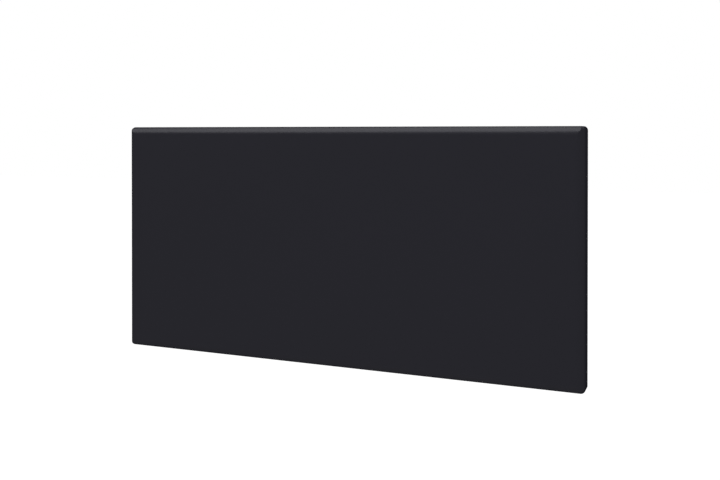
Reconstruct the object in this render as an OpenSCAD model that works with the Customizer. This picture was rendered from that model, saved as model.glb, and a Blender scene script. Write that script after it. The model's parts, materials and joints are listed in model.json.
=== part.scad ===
// Wall-hung electric convector heater with a plain front panel, on its own wall bracket.
// Origin: the centre of the four wall screws, on the wall. +X is right, +Z is up, the front looks along -Y.

/* [Whole heater] */
// Width of the front panel
panel_w = 750; // [700:10:900]
// Height of the front panel
panel_h = 370; // [360:5:420]
// Depth of the front panel, from its face to its rear edge
shell_d = 34; // [30:1:40]
// Depth of the rear casing behind the front panel
case_d = 32; // [30:1:40]
// Space between the rear casing and the wall
wall_gap = 20; // [19:1:26]

/* [Front panel] */
// Sheet thickness of the front panel
skin_t = 1; // [0.8:0.1:1.4]
// Radius of the rolled edges between the face and the four sides
edge_r = 12; // [8:1:14]
// Radius of the corners at the sides, seen from the front
corner_r = 6; // [5:0.5:9]
// Width of the stiffening rail behind the face
stiffener_w = 60; // [40:5:80]
// Depth of the stiffening rail
stiffener_d = 7; // [5:0.5:8]

/* [Rear casing] */
// Sheet thickness of the rear casing
case_t = 0.8; // [0.7:0.1:1.2]
// Distance from the side of the front panel to the wall of the rear casing
case_inset = 12; // [11.5:0.5:14]
// Width of the casing's screwed flange
flange_w = 10; // [9:0.5:10.5]
// Outside radius of the casing's folds
fold_r = 2.5; // [2:0.25:3.5]
// Width of an inlet slot underneath
inlet_w = 5; // [3:0.5:6]
// Length of an inlet slot, front to back
inlet_l = 20; // [14:1:21]
// Distance from one inlet slot to the next
inlet_pitch = 11; // [9:0.5:16]

/* [Outlet grille] */
// Number of slats between the grille's two long sides
slat_count = 3; // [2:1:4]
// Thickness of a slat
slat_t = 1.6; // [1.2:0.1:2]
// Height of a slat
slat_h = 7; // [5:0.5:9]
// Lean of the slats towards the room
slat_lean = 20; // [0:5:25]
// Distance from one cross rib to the next, at most
rib_pitch = 36; // [24:2:60]

/* [Heating element] */
// Length of the element's aluminium profile
element_l = 500; // [440:10:520]
// Height of the element's centre above the panel's lower edge
element_rise = 80; // [76:2:100]
// Distance of the element's centre from the outside of the casing's back
element_back = 30; // [29:1:33]
// Length of each of the profile's four arms
arm_l = 29; // [24:1:30]
// Radius of the steel sheathed rod
rod_r = 4.2; // [3.5:0.1:4.5]

/* [Controls] */
// Width of the control unit on top
control_w = 110; // [106:1:125]
// Depth of the control housing below the casing's top
control_h = 36; // [34:1:50]
// Travel of a button
button_travel = 0.8; // [0.4:0.1:0.9]
// Angle that the mains rocker turns through
rocker_swing = 20; // [14:1:22]

/* [Supply] */
// Radius of the bore that the mains cord passes through
cord_r = 3.6; // [3:0.1:4]

/* [Wall bracket] */
// Distance between the wall screws, side to side
hole_w = 380; // [340:10:400]
// Distance between the wall screws, up and down
hole_h = 120; // [110:5:124]
// Radius of a wall screw hole
hole_r = 3.25; // [2.5:0.25:3.5]
// Sheet thickness of the bracket's uprights
upright_t = 1.5; // [1.2:0.1:2]
// Sheet thickness of the bracket's rails
rail_t = 1.5; // [1.2:0.1:2]
// Height of a rail
rail_h = 24; // [22:1:30]
// Travel that frees the heater from the lower hooks
lift = 10; // [9:0.5:11]
// Travel of a latch when it is pressed down
latch_travel = 6; // [5.5:0.5:7]

/* [Hidden] */
$fn = 48;

// Colours
anthracite = [0.16, 0.155, 0.165];
zinc = [0.68, 0.69, 0.7];
bright_steel = [0.78, 0.79, 0.8];
aluminium = [0.82, 0.83, 0.84];
black_plastic = [0.08, 0.08, 0.085];
white_plastic = [0.9, 0.9, 0.88];

// Cut tools run past a wall by this much
over = 1;
// Gap that is left between pieces that are seated on each other but may not touch
seat = 0.2;
// Radial clearance of a screw, pin or rod in its hole
hole_play = 0.1;
// Clearance on each side of a piece that slides
slide_play = 0.3;

// Planes of the heater, front to back
back_y = -wall_gap;
inner_back_y = back_y - case_t;
split_y = back_y - case_d;
face_y = split_y - shell_d;
mid_y = (back_y + split_y) / 2;

// Outside and inside of the rear casing
case_w = panel_w - 2 * case_inset;
case_h = panel_h - 2 * case_inset;
case_side = case_w / 2;
case_top = case_h / 2;
inner_side = case_side - case_t;
inner_top = case_top - case_t;

// Rounded rectangle around the origin
module rounded_rectangle(w, h, r) {
    square([w - 2 * r, h], center = true);
    square([w, h - 2 * r], center = true);
    for (sx = [-1, 1], sy = [-1, 1])
        translate([sx * (w / 2 - r), sy * (h / 2 - r)])
            circle(r);
}

// Slot with round ends, its length along the second axis
module slot_outline(w, l) {
    square([w, l - w], center = true);
    for (s = [-1, 1])
        translate([0, s * (l - w) / 2])
            circle(w / 2);
}

// Side view of a tray: the rounded edges at 0, the open side at d
module tray_outline(w, d, r) {
    translate([-w / 2, r])
        square([w, d - r]);
    translate([-w / 2 + r, 0])
        square([w - 2 * r, d]);
    for (s = [-1, 1])
        translate([s * (w / 2 - r), r])
            circle(r);
}

// Extrusions of an outline: along X it is drawn as (Y, Z), along Y as (X, Z)
module along_x(l) {
    rotate([90, 0, 90])
        linear_extrude(l, center = true)
            children();
}

module along_y(l) {
    rotate([90, 0, 0])
        linear_extrude(l)
            children();
}

// Solid block whose four edges at y = 0 are rolled over, also round its corners; it reaches to y = d
module rolled_block(w, h, d, r, corner) {
    intersection() {
        linear_extrude(h + 2 * over, center = true)
            tray_outline(w, d, r);
        along_x(w + 2 * over)
            mirror([1, -1])
                tray_outline(h, d, r);
        translate([0, d, 0])
            along_y(d + over) {
                square([w - 2 * corner, h], center = true);
                square([w, h - 2 * corner], center = true);
            }
    }
    for (sx = [-1, 1], sz = [-1, 1])
        translate([sx * (w / 2 - corner), 0, sz * (h / 2 - corner)])
            rotate([-90, 0, 0])
                rotate_extrude()
                    intersection() {
                        square([corner, d]);
                        translate([corner - w / 2, 0])
                            tray_outline(w, d, r);
                    }
}

// Sheet tray made from that block, open at y = d
module rolled_tray(w, h, d, r, corner, t) {
    difference() {
        rolled_block(w, h, d, r, corner);
        translate([0, t, 0])
            rolled_block(w - 2 * t, h - 2 * t, d, r - t, corner - t);
    }
}

// Flat ring from y = 0 to y = -t
module flat_ring(w, h, corner, inner_w, inner_h, inner_corner, t) {
    along_y(t)
        difference() {
            rounded_rectangle(w, h, corner);
            rounded_rectangle(inner_w, inner_h, inner_corner);
        }
}

// Screw along -Y: the head stands on y = 0 and the shank goes down to y = -l
module screw(r, l, head_r, head_t) {
    recess_w = head_r / 4;
    recess_l = head_r * 1.2;
    rotate([-90, 0, 0])
        difference() {
            union() {
                translate([0, 0, -l])
                    cylinder(h = l, r = r, $fn = 24);
                cylinder(h = head_t, r1 = head_r, r2 = head_r * 0.8, $fn = 32);
            }
            for (a = [0, 90])
                rotate(a)
                    translate([-recess_l / 2, -recess_w / 2, head_t / 2])
                        cube([recess_l, recess_w, head_t]);
        }
}

// Smooth route through corners: each inner corner is replaced by a curve that starts r before it
function unit(v) = v / norm(v);
function corner_points(a, b, c, r, steps) =
    let (from = b + r * unit(a - b), to = b + r * unit(c - b))
    [for (i = [0:steps]) let (k = i / steps) (1 - k) * (1 - k) * from + 2 * k * (1 - k) * b + k * k * to];
function route(corners, r, steps = 4) = concat(
    [corners[0]],
    [for (i = [1:len(corners) - 2]) each corner_points(corners[i - 1], corners[i], corners[i + 1], r, steps)],
    [corners[len(corners) - 1]]);

// Direction of a route at point i, and the side directions carried along it
function heading(p, i) = unit(p[min(i + 1, len(p) - 1)] - p[max(i - 1, 0)]);
function level(v, t) = unit(v - (v * t) * t);
function sides_along(p, first) = [
    for (i = 0, v = level(first, heading(p, 0)); i < len(p);
        i = i + 1, v = i < len(p) ? level(v, heading(p, i)) : v) v];

// Tube swept along points, closed at both ends
module swept_tube(p, r, first, sides = 8) {
    n = len(p);
    side = sides_along(p, first);
    rings = [for (i = [0:n - 1], j = [0:sides - 1])
        let (t = heading(p, i), a = 360 * j / sides)
        p[i] + r * (cos(a) * side[i] + sin(a) * cross(t, side[i]))];
    walls = [for (i = [0:n - 2], j = [0:sides - 1], half = [0, 1])
        let (k = (j + 1) % sides, low = i * sides, high = (i + 1) * sides)
        half == 0 ? [low + j, high + j, high + k] : [low + j, high + k, low + k]];
    polyhedron(rings, concat(walls,
        [[for (j = [0:sides - 1]) j]],
        [[for (j = [sides - 1:-1:0]) (n - 1) * sides + j]]));
}

// Fastening of the front panel to the rear casing
casing_screw_r = 1.45;
casing_screw_l = 8;
casing_head_r = 2.9;
casing_head_t = 1.8;
screw_in = case_inset - flange_w / 2;
screw_x = panel_w / 2 - screw_in;
screw_z = panel_h / 2 - screw_in;
screw_rows = 5;
screw_end_x = screw_x - 40;
casing_screw_spots = concat(
    [for (i = [0:screw_rows - 1], s = [-1, 1]) [(2 * i / (screw_rows - 1) - 1) * screw_end_x, s * screw_z]],
    [for (sx = [-1, 1], sz = [-1, 1]) [sx * screw_x, sz * screw_z / 2]]);

module casing_screw_holes(y, l) {
    for (spot = casing_screw_spots)
        translate([spot[0], y, spot[1]])
            along_y(l)
                circle(casing_screw_r + hole_play, $fn = 24);
}

module front_panel() {
    color(anthracite)
        difference() {
            union() {
                translate([0, face_y, 0])
                    rolled_tray(panel_w, panel_h, shell_d, edge_r, corner_r, skin_t);
                translate([0, split_y, 0])
                    flat_ring(panel_w - skin_t, panel_h - skin_t, corner_r - skin_t / 2,
                        case_w, case_h, fold_r, skin_t);
            }
            casing_screw_holes(split_y + over, skin_t + 2 * over);
        }
}

// Hat-shaped rail bonded behind the face
stiffener_t = 0.7;
stiffener_foot = 12;
stiffener_margin = 54;
stiffener_l = panel_w - 2 * stiffener_margin;
module front_stiffener() {
    foot_y = face_y + skin_t;
    crown_y = foot_y + stiffener_d;
    half = stiffener_w / 2;
    color(zinc)
        along_x(stiffener_l) {
            for (s = [-1, 1]) {
                translate([foot_y, s > 0 ? half - stiffener_foot : -half])
                    square([stiffener_t, stiffener_foot]);
                translate([foot_y, s * (half - stiffener_foot) - (s > 0 ? 0 : stiffener_t)])
                    square([stiffener_d, stiffener_t]);
            }
            translate([crown_y - stiffener_t, -half + stiffener_foot - stiffener_t])
                square([stiffener_t, stiffener_w - 2 * stiffener_foot + 2 * stiffener_t]);
        }
}

// Openings in the casing's top: the grille, and the control unit to its right
top_open_d = case_d - 8;
top_rim = 2;
top_plate_d = top_open_d + 2 * top_rim;
opening_margin = 16;
control_end = case_side - opening_margin;
control_start = control_end - control_w;
control_x = (control_start + control_end) / 2;
control_tab = 10;
control_open_w = control_w - 2 * control_tab;
grille_rim = 5;
grille_start = 2 + opening_margin - case_side;
grille_end = control_start - 10;
grille_l = grille_end - grille_start;
grille_x = (grille_start + grille_end) / 2;

// Hooks and latches of the wall bracket, and the slots for them in the casing's back
bracket_space = 3;
channel_w = 36;
channel_fold = 3;
hook_t = upright_t;
hook_arm = 8;
hook_tip = 8;
hook_tip_t = 6;
hook_play = 0.7;
slot_play = 3;
lower_slot_rise = 50;
upper_slot_drop = 67;
lower_slot_top = lower_slot_rise - panel_h / 2;
lower_slot_w = hook_t + slot_play + 0.5;
lower_slot_h = hook_arm + lift + slot_play;
upper_slot_top = panel_h / 2 - upper_slot_drop;
latch_arm = 5;
latch_tip = 5;
latch_w = 10;
upper_slot_w = latch_w + slot_play + 1;
upper_slot_h = latch_arm + latch_travel + lift + slot_play;
hook_tip_back = inner_back_y - hook_play;
hook_tip_front = hook_tip_back - hook_tip_t;

// Mains switch in the right side wall
switch_z = -60;
switch_open_h = 27;
switch_open_d = 13;

// Supply end of the casing, low at the right: distances from the casing's side and from its underside
terminal_in = 63;
terminal_rise = 38;
gland_in = 40;
earth_rise = 20;
supply_pitch = 34;
terminal_x = case_side - terminal_in;
terminal_z = terminal_rise - case_top;
terminal_w = 28;
terminal_h = 20;
terminal_d = 16;
gland_x = case_side - gland_in;
gland_r = 7.6;
earth_x = terminal_x - supply_pitch;
earth_z = earth_rise - case_top;
sensor_x = gland_x - supply_pitch;

// Inlet slots underneath, from the left end to the sensor
inlet_margin = 16;
inlet_start = inlet_margin - case_side;
inlet_end = sensor_x - inlet_margin;
inlet_count = floor((inlet_end - inlet_start) / inlet_pitch);

// Heating element
element_z = element_rise - panel_h / 2;
element_y = back_y - element_back;
bush_flange = 2;
bush_r = 7.4;
bush_flange_r = 10;
hanger_t = 1.2;
hanger_x = element_l / 2 + seat + bush_flange + hole_play;
hanger_foot = 16;
hanger_h = 44;
hanger_front = element_y - 14;

// Overheat cut-out above the element, on a stepped bracket
cutout_x = 60;
cutout_rise = 58;
cutout_z = element_z + cutout_rise;
cutout_r = 8;
cutout_step = 3;
cutout_foot = 14;

// Screws through the casing's back, with their heads outside
back_screw_r = 1.45;
back_screw_l = 7;
hanger_screw_x = hanger_x + hanger_t + hanger_foot / 2;
back_screw_spots = concat(
    [for (sx = [-1, 1], sz = [-1, 1]) [sx * hanger_screw_x, element_z + sz * hanger_h / 3]],
    [[cutout_x, cutout_z + cutout_r + cutout_step + cutout_foot / 2], [terminal_x, terminal_z]]);

module back_screw_holes(y, l) {
    for (spot = back_screw_spots)
        translate([spot[0], y, spot[1]])
            along_y(l)
                circle(back_screw_r + hole_play, $fn = 24);
}

// Screws through the casing's sides into the heat shield
shield_tab_h = 30;
shield_tab_end = 6;
shield_screw_y = mid_y;
shield_screw_zs = [-0.6 * case_top, 0.5 * case_top];

module shield_screw_holes(inner, outer) {
    for (s = [-1, 1], z = shield_screw_zs)
        translate([s * (inner + outer) / 2, shield_screw_y, z])
            along_x(outer - inner)
                circle(casing_screw_r + hole_play, $fn = 24);
}

// Stiffening beads, pressed out of the casing's back: three between the uprights, one on each side of them
bead_r = 8;
bead_out = 2;
bead_gap = 20;
bead_y = back_y + bead_out - bead_r;
bead_l = hole_w - channel_w - 2 * bead_gap;
bead_pitch = cutout_rise + cutout_r + cutout_step + cutout_foot + bead_gap;
side_bead_in = 58;
side_bead_x = case_side - side_bead_in;
side_bead_low = element_z + hanger_h / 2 + bead_gap;
side_bead_high = case_top - 2 * bead_gap;

module capsule(l, r) {
    rotate([0, 90, 0])
        cylinder(h = l, r = r, center = true);
    for (s = [-1, 1])
        translate([s * l / 2, 0, 0])
            sphere(r);
}

module beads(r) {
    for (i = [0:2])
        translate([0, bead_y, element_z + i * bead_pitch])
            capsule(bead_l, r);
    for (s = [-1, 1])
        translate([s * side_bead_x, bead_y, (side_bead_low + side_bead_high) / 2])
            rotate([0, 90, 0])
                capsule(side_bead_high - side_bead_low, r);
}

module rear_casing() {
    color(anthracite)
        difference() {
            union() {
                intersection() {
                    beads(bead_r);
                    translate([-case_side, back_y - case_t / 2, -case_top])
                        cube([case_w, wall_gap, case_h]);
                }
                translate([0, back_y, 0])
                    mirror([0, 1, 0])
                        rolled_tray(case_w, case_h, case_d, fold_r, fold_r + 0.5, case_t);
                translate([0, split_y + case_t, 0])
                    flat_ring(case_w + 2 * flange_w, case_h + 2 * flange_w, corner_r,
                        case_w - case_t, case_h - case_t, fold_r, case_t);
            }
            beads(bead_r - case_t);
            casing_screw_holes(split_y + case_t + over, case_t + 2 * over);
            back_screw_holes(back_y + over, case_t + 2 * over);
            shield_screw_holes(inner_side - over, case_side + over);
            // Outlet and control openings
            translate([grille_x, mid_y, inner_top - over])
                linear_extrude(case_t + 2 * over)
                    square([grille_l, top_open_d], center = true);
            translate([control_x, mid_y, inner_top - over])
                linear_extrude(case_t + 2 * over) {
                    square([control_open_w, top_open_d], center = true);
                    for (s = [-1, 1])
                        translate([s * (control_w - control_tab) / 2, 0])
                            circle(casing_screw_r + hole_play, $fn = 24);
                }
            // Inlet slots, cord gland and sensor opening underneath
            translate([0, mid_y, -case_top - over])
                linear_extrude(case_t + 2 * over) {
                    for (i = [0:inlet_count - 1])
                        translate([inlet_start + (i + 0.5) * inlet_pitch, 0])
                            slot_outline(inlet_w, inlet_l, $fn = 24);
                    translate([gland_x, 0])
                        circle(gland_r + hole_play);
                    translate([sensor_x, 0])
                        circle(sensor_r + hole_play, $fn = 32);
                }
            // Slots for the bracket's hooks and latches
            for (sx = [-1, 1]) {
                for (sf = [-1, 1])
                    translate([sx * hole_w / 2 + sf * (channel_w - upright_t) / 2 - lower_slot_w / 2,
                            inner_back_y - over, lower_slot_top - lower_slot_h])
                        cube([lower_slot_w, case_t + 2 * over, lower_slot_h]);
                translate([sx * hole_w / 2 - upper_slot_w / 2, inner_back_y - over,
                        upper_slot_top - upper_slot_h])
                    cube([upper_slot_w, case_t + 2 * over, upper_slot_h]);
            }
            // Switch opening
            translate([inner_side - over, mid_y - switch_open_d / 2, switch_z - switch_open_h / 2])
                cube([case_t + 2 * over, switch_open_d, switch_open_h]);
        }
}

// Drop-in grille of the warm air outlet: a rim, a skirt, leaning slats and cross ribs
grille_t = 1.4;
skirt_t = 1.4;
skirt_l = grille_l - 2 * slide_play;
skirt_d = top_open_d - 2 * slide_play;
rib_t = 1.6;
clip_w = 10;
clip_count = 6;
module outlet_grille() {
    rib_count = ceil(skirt_l / rib_pitch);
    inner_d = skirt_d - 2 * skirt_t;
    color(black_plastic)
        translate([grille_x, mid_y, case_top]) {
            linear_extrude(grille_t)
                difference() {
                    rounded_rectangle(grille_l + 2 * grille_rim, top_plate_d, top_rim);
                    square([skirt_l - 2 * skirt_t, inner_d], center = true);
                }
            translate([0, 0, -slat_h])
                linear_extrude(slat_h)
                    difference() {
                        square([skirt_l, skirt_d], center = true);
                        square([skirt_l - 2 * skirt_t, inner_d], center = true);
                    }
            // Slats, with round upper and lower edges
            for (i = [1:slat_count])
                translate([0, (i / (slat_count + 1) - 0.5) * inner_d, grille_t / 2 - slat_h / 2])
                    along_x(skirt_l - skirt_t)
                        rotate(slat_lean)
                            slot_outline(slat_t, slat_h, $fn = 20);
            for (i = [1:rib_count - 1])
                translate([(i / rib_count - 0.5) * skirt_l - rib_t / 2, -skirt_d / 2 + skirt_t / 2, -slat_h])
                    cube([rib_t, skirt_d - skirt_t, slat_h - slat_t]);
            // Clips that catch under the casing's top
            for (i = [0:clip_count - 1], s = [-1, 1])
                translate([(i / (clip_count - 1) - 0.5) * (skirt_l - 3 * clip_w), s * skirt_d / 2,
                        -case_t - seat])
                    along_x(clip_w)
                        mirror([s > 0 ? 0 : 1, 0])
                            polygon([[-skirt_t / 2, 0], [1, 0], [0, -3], [-skirt_t / 2, -3]]);
        }
}

module casing_screws() {
    color(zinc)
        for (spot = casing_screw_spots)
            translate([spot[0], split_y + case_t, spot[1]])
                screw(casing_screw_r, casing_screw_l, casing_head_r, casing_head_t);
}

module back_screws() {
    color(zinc)
        for (spot = back_screw_spots)
            translate([spot[0], back_y, spot[1]])
                screw(back_screw_r, back_screw_l, casing_head_r, casing_head_t);
}

// Cross-shaped aluminium profile on a steel sheathed rod
hub_r = rod_r + 2.6;
arm_t = 2;
arm_angle = 58;
barb_l = 6;
barb_t = 1;
barb_first = 12;
barb_pitch = 5.5;
module element_profile() {
    barb_count = floor((arm_l - barb_first) / barb_pitch) + 1;
    color(aluminium)
        translate([0, element_y, element_z])
            along_x(element_l)
                difference() {
                    union() {
                        circle(hub_r);
                        for (a = [arm_angle, 180 - arm_angle, 180 + arm_angle, -arm_angle])
                            rotate(a) {
                                translate([0, -arm_t / 2])
                                    square([arm_l, arm_t]);
                                translate([arm_l, 0])
                                    circle(arm_t * 0.8, $fn = 20);
                                for (i = [0:barb_count - 1])
                                    translate([barb_first + i * barb_pitch - barb_t / 2, -barb_l / 2])
                                        square([barb_t, barb_l]);
                            }
                    }
                    circle(rod_r + hole_play / 2);
                }
}

// The rod passes through both bushes and ends in ceramic collars and flat terminals
rod_out = 4;
rod_half = hanger_x + hanger_t + hole_play + bush_flange + rod_out;
pin_r = 1.5;
pin_l = 10;
tab_w = 6.3;
tab_t = 0.8;
tab_l = 9;
module element_rod() {
    color(bright_steel)
        difference() {
            translate([-rod_half, element_y, element_z])
                rotate([0, 90, 0])
                    cylinder(h = 2 * rod_half, r = rod_r);
            for (s = [-1, 1])
                translate([s * rod_half, element_y, element_z])
                    rotate([0, 90, 0])
                        cylinder(h = 12, r = pin_r + hole_play, center = true, $fn = 24);
        }
}

module element_terminals() {
    color(bright_steel)
        for (s = [-1, 1])
            translate([s * rod_half, element_y, element_z]) {
                rotate([0, s * 90, 0])
                    translate([0, 0, -5])
                        cylinder(h = pin_l + 5, r = pin_r, $fn = 24);
                translate([s > 0 ? pin_l - 2 : -pin_l + 2 - tab_l, -tab_t / 2, -tab_w / 2])
                    cube([tab_l, tab_t, tab_w]);
            }
}

module element_hanger(s) {
    foot_x = s > 0 ? hanger_x : -hanger_x - hanger_foot - hanger_t;
    color(zinc)
        difference() {
            union() {
                translate([s * (hanger_x + hanger_t / 2), 0, element_z])
                    along_x(hanger_t)
                        translate([(inner_back_y + hanger_front) / 2, 0])
                            rounded_rectangle(inner_back_y - hanger_front, hanger_h, 0.5);
                translate([foot_x, inner_back_y, element_z])
                    along_y(hanger_t)
                        translate([0, -hanger_h / 2])
                            square([hanger_foot + hanger_t, hanger_h]);
            }
            translate([s * (hanger_x + hanger_t / 2), element_y, element_z])
                along_x(hanger_t + 2 * over)
                    circle(bush_r + hole_play);
            back_screw_holes(inner_back_y + over, hanger_t + 2 * over);
        }
}

module element_bush(s) {
    groove = hanger_t + 2 * hole_play;
    color(white_plastic)
        translate([s * (hanger_x + hanger_t / 2), element_y, element_z])
            rotate([0, 90, 0])
                difference() {
                    union() {
                        cylinder(h = groove + 2 * bush_flange, r = bush_r, center = true);
                        for (side = [-1, 1])
                            translate([0, 0, side * (groove + bush_flange) / 2])
                                cylinder(h = bush_flange, r = bush_flange_r, center = true);
                    }
                    cylinder(h = groove + 2 * bush_flange + over, r = rod_r + hole_play, center = true);
                }
}

// Bright sheet that keeps the heat off the front panel and leads the air to the outlet
shield_t = 0.5;
shield_space = 12;
shield_lean = 18;
shield_low_gap = 16;
shield_high_gap = 9;
shield_slope_h = 35;
module heat_shield() {
    y0 = face_y + shield_space;
    bottom = shield_low_gap - case_top;
    top = case_top - shield_high_gap;
    bend = top - shield_slope_h;
    half = inner_side - seat;
    color(bright_steel)
        difference() {
            union() {
                along_x(2 * half)
                    polygon([[y0, bottom], [y0, bend], [y0 + shield_lean, top],
                        [y0 + shield_lean + shield_t, top], [y0 + shield_t, bend - shield_t],
                        [y0 + shield_t, bottom]]);
                for (s = [-1, 1], z = shield_screw_zs)
                    translate([s > 0 ? half - shield_t : -half, y0, z - shield_tab_h / 2])
                        cube([shield_t, shield_screw_y - y0 + shield_tab_end, shield_tab_h]);
            }
            shield_screw_holes(half - shield_t - over, half + over);
        }
}

module shield_screws() {
    color(zinc)
        for (s = [-1, 1], z = shield_screw_zs)
            translate([s * case_side, shield_screw_y, z])
                rotate([0, 0, -s * 90])
                    screw(casing_screw_r, casing_screw_l - 2, casing_head_r, casing_head_t);
}

// Disc thermostat that switches the element off when the air flow is blocked
cutout_y = inner_back_y - 12;
cutout_d = 6;
module overheat_cutout() {
    color(black_plastic)
        translate([cutout_x, cutout_y - hanger_t, cutout_z]) {
            along_y(cutout_d)
                circle(cutout_r);
            translate([0, -cutout_d, 0])
                along_y(3)
                    circle(cutout_r - 1.5);
            for (s = [-1, 1])
                translate([s > 0 ? cutout_r - 1 : -cutout_r + 1 - tab_l, -cutout_d + 1, -tab_w / 2])
                    cube([tab_l, tab_t, tab_w]);
        }
}

module cutout_bracket() {
    plate_w = 2 * cutout_r + 4;
    step_z = cutout_z + cutout_r + cutout_step;
    color(zinc)
        difference() {
            union() {
                translate([cutout_x - plate_w / 2, cutout_y - hanger_t, cutout_z - cutout_r - 2])
                    cube([plate_w, hanger_t, 2 * cutout_r + 5]);
                translate([cutout_x - plate_w / 2, cutout_y - hanger_t, step_z - hanger_t])
                    cube([plate_w, inner_back_y - cutout_y + hanger_t, hanger_t]);
                translate([cutout_x - plate_w / 2, inner_back_y - hanger_t, step_z - hanger_t])
                    cube([plate_w, hanger_t, cutout_foot + hanger_t]);
            }
            back_screw_holes(inner_back_y + over, hanger_t + 2 * over);
        }
}

// Control unit: a housing under the casing's top, closed by the bezel
bezel_t = 2;
housing_wall = 1.6;
passage_w = 5;
passage_l = 12;
passage_in = 9;
housing_w = control_open_w - 1;
housing_d = top_open_d - 1;
board_drop = 12;
board_t = 1.6;
board_w = housing_w - 2 * housing_wall - 1;
board_d = housing_d - 2 * housing_wall - 1;
board_top = case_top - board_drop + board_t;
post_r = 2;
window_w = 36;
window_d = 15;
window_t = 1.2;
window_x = control_x - housing_w / 2 + 23;
window_ledge = 2.5;
button_w = 10;
button_d = 12;
button_corner = 2;
button_pitch = 14.5;
button_out = 1.2;
button_flange_t = 1.5;
plus_x = control_x + housing_w / 2 - 9;
button_xs = [plus_x - 2 * button_pitch, plus_x - button_pitch, plus_x];
tact_w = 6;
tact_h = 3.5;
plunger_r = 1.7;
plunger_h = 1;

module control_housing() {
    color(black_plastic)
        translate([control_x, mid_y, case_top - control_h]) {
            difference() {
                linear_extrude(control_h)
                    rounded_rectangle(housing_w, housing_d, 2);
                translate([0, 0, housing_wall])
                    linear_extrude(control_h)
                        rounded_rectangle(housing_w - 2 * housing_wall, housing_d - 2 * housing_wall, 1);
                // Passage for the leads in the floor
                translate([housing_w / 2 - passage_in, 0, -over])
                    linear_extrude(housing_wall + 2 * over)
                        rotate(90)
                            slot_outline(passage_w, passage_l, $fn = 24);
            }
            // Posts that carry the circuit board
            for (sx = [-1, 1], sy = [-1, 1])
                translate([sx * (board_w / 2 - 3), sy * (board_d / 2 - 3), housing_wall / 2])
                    cylinder(h = control_h - board_drop - housing_wall / 2, r = post_r, $fn = 24);
        }
}

module control_bezel() {
    color(black_plastic)
        difference() {
            translate([control_x, mid_y, case_top])
                linear_extrude(bezel_t)
                    difference() {
                        rounded_rectangle(control_w, top_plate_d, 3);
                        for (s = [-1, 1])
                            translate([s * (control_w - control_tab) / 2, 0])
                                circle(casing_screw_r + hole_play, $fn = 24);
                    }
            for (x = button_xs)
                translate([x, mid_y, case_top - over])
                    linear_extrude(bezel_t + 2 * over)
                        rounded_rectangle(button_w + 2 * slide_play, button_d + 2 * slide_play,
                            button_corner + slide_play);
            translate([window_x, mid_y, case_top + bezel_t - window_t])
                linear_extrude(window_t + over)
                    rounded_rectangle(window_w + 2 * hole_play, window_d + 2 * hole_play, 1.5);
            translate([window_x, mid_y, case_top - over])
                linear_extrude(bezel_t + 2 * over)
                    square([window_w - 2 * window_ledge, window_d - 2 * window_ledge], center = true);
        }
}

module control_screws() {
    color(zinc)
        for (s = [-1, 1])
            translate([control_x + s * (control_w - control_tab) / 2, mid_y, case_top + bezel_t])
                rotate([90, 0, 0])
                    screw(casing_screw_r, casing_screw_l, casing_head_r - 0.5, 1.2);
}

module display_window() {
    color([0.05, 0.05, 0.06])
        translate([window_x, mid_y, case_top + bezel_t - window_t])
            linear_extrude(window_t)
                rounded_rectangle(window_w, window_d, 1.5 - hole_play);
}

module display_module() {
    color(white_plastic)
        translate([window_x, mid_y, board_top])
            linear_extrude(case_top - seat - board_top)
                square([window_w - 3, window_d - 2], center = true);
}

module circuit_board() {
    color([0.1, 0.35, 0.2])
        translate([control_x, mid_y, board_top - board_t])
            linear_extrude(board_t)
                square([board_w, board_d], center = true);
}

module tact_switches() {
    color([0.2, 0.2, 0.2])
        for (x = button_xs)
            translate([x, mid_y, board_top]) {
                linear_extrude(tact_h)
                    square([tact_w, tact_w], center = true);
                cylinder(h = tact_h + plunger_h, r = plunger_r, $fn = 24);
            }
}

relay_l = 20;
relay_w = 15;
module relay() {
    color(black_plastic)
        translate([control_x - board_w / 2 + 8, mid_y - relay_w / 2, board_top - board_t - relay_w])
            cube([relay_l, relay_w, relay_w]);
}

coil_l = 22;
coil_h = 14;
module power_supply() {
    color([0.75, 0.7, 0.3])
        translate([control_x + 2, mid_y - board_d / 2 + 2, board_top - board_t - coil_h])
            cube([coil_l, board_d - 4, coil_h]);
}

// Button: a cap in the bezel, a collar under it, and a stem above its switch
module button(x) {
    low = board_top + tact_h + plunger_h + button_travel + seat;
    collar_top = case_top - slide_play;
    color([0.3, 0.3, 0.31])
        translate([x, mid_y, 0]) {
            translate([0, 0, collar_top - button_flange_t])
                linear_extrude(case_top + bezel_t + button_out - collar_top + button_flange_t)
                    rounded_rectangle(button_w, button_d, button_corner);
            translate([0, 0, collar_top - button_flange_t])
                linear_extrude(button_flange_t)
                    rounded_rectangle(button_w + 2, button_d + 2, button_corner);
            translate([0, 0, low])
                cylinder(h = collar_top - button_flange_t / 2 - low, r = plunger_r, $fn = 24);
        }
}

module button_power() {
    button(button_xs[0]);
}

module button_minus() {
    button(button_xs[1]);
}

module button_plus() {
    button(button_xs[2]);
}

// Room temperature sensor in the air that enters underneath
sensor_r = 3.4;
sensor_l = 8;
sensor_flange_t = 1.5;
probe_r = 2;
probe_l = 14;
module sensor_holder() {
    color(black_plastic)
        translate([sensor_x, mid_y, -case_top])
            difference() {
                union() {
                    translate([0, 0, -sensor_flange_t])
                        cylinder(h = sensor_flange_t, r = sensor_r + 2);
                    translate([0, 0, -sensor_flange_t / 2])
                        cylinder(h = sensor_l + sensor_flange_t / 2, r = sensor_r, $fn = 32);
                }
                translate([0, 0, -sensor_flange_t - over])
                    cylinder(h = sensor_l + sensor_flange_t + 2 * over, r = probe_r + hole_play, $fn = 32);
            }
}

module room_sensor() {
    color([0.15, 0.15, 0.15])
        translate([sensor_x, mid_y, -case_top - 1]) {
            cylinder(h = probe_l, r = probe_r, $fn = 32);
            sphere(probe_r, $fn = 32);
        }
}

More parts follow.
